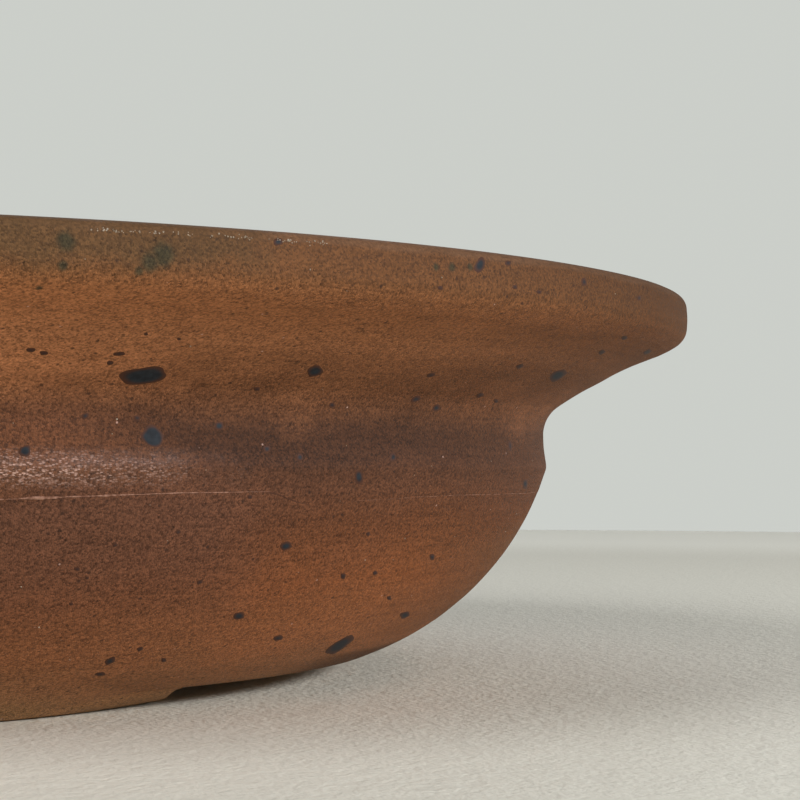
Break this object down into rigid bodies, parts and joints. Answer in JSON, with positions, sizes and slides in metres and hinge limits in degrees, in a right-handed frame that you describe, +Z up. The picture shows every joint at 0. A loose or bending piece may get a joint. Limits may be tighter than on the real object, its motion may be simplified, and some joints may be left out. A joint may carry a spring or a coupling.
{
  "type": "stoneware bowl",
  "caption": "Shallow round stoneware flower bowl with a thick flared lip, a waisted neck above a rounded belly, low feet and a drain hole.",
  "frame": {"origin": "on the table under the feet, on the bowl's axis", "axes": "+Z up along the bowl's axis; -Y is the front, through the middle of the front foot; +X is to the right seen from the front"},
  "size_m": [0.24, 0.24, 0.048],
  "materials": {
    "floor_clay": "unglazed iron-rich stoneware, matte",
    "belly_clay": "unglazed iron-rich stoneware with a dry satin flash and dark iron spots",
    "neck_clay": "unglazed iron-rich stoneware, purple-brown, satin",
    "lip_clay": "unglazed iron-rich stoneware with an olive bloom of ash",
    "foot_clay": "unglazed iron-rich stoneware, tan, matte"
  },
  "bodies": {
    "root": {"floor_disc": "floor_clay", "belly_wall": "belly_clay", "neck_wall": "neck_clay", "rim_lip": "lip_clay", "front_foot": "foot_clay", "right_rear_foot": "foot_clay", "left_rear_foot": "foot_clay"}
  },
  "joints": []
}
